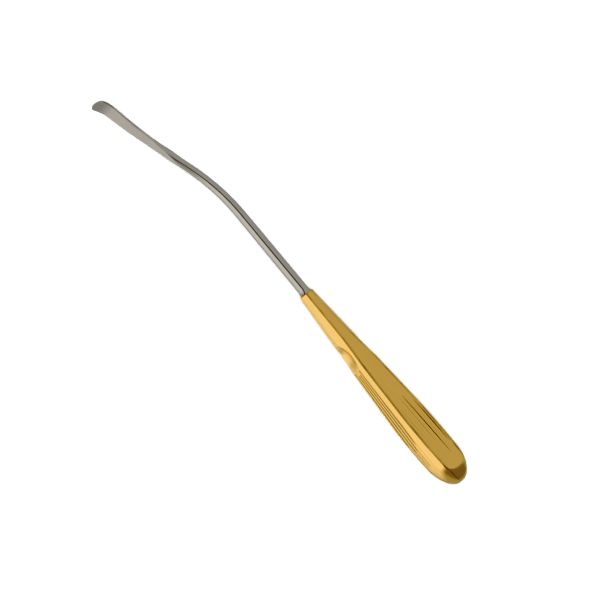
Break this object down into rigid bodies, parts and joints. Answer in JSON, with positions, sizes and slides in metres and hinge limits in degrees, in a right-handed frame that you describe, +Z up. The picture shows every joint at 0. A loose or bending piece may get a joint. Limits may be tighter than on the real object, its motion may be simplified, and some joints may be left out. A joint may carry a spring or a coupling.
{
  "type": "surgical elevator",
  "caption": "Long curved elevator for lifting soft tissue off bone: a turned-in flat steel blade on a bent round shaft, brazed into a faceted, reeded gilt handle.",
  "frame": {"origin": "on the surface that the instrument lies on, below the middle of its bounding box", "axes": "+X along the handle's axis towards the pommel, +Z up, square to the handle's broad flats; the blade bends towards -Y"},
  "size_m": [0.2496, 0.0346, 0.0132],
  "materials": {
    "steel": "satin-polished stainless steel",
    "gilt": "polished gold plating on brass",
    "pin_steel": "drawn steel, unpolished"
  },
  "bodies": {
    "root": {"working_end": "steel", "handle_top_shell": "gilt", "handle_bottom_shell": "gilt", "vent_plug": "gilt", "tang_pin_front": "pin_steel", "tang_pin_rear": "pin_steel"}
  },
  "joints": []
}
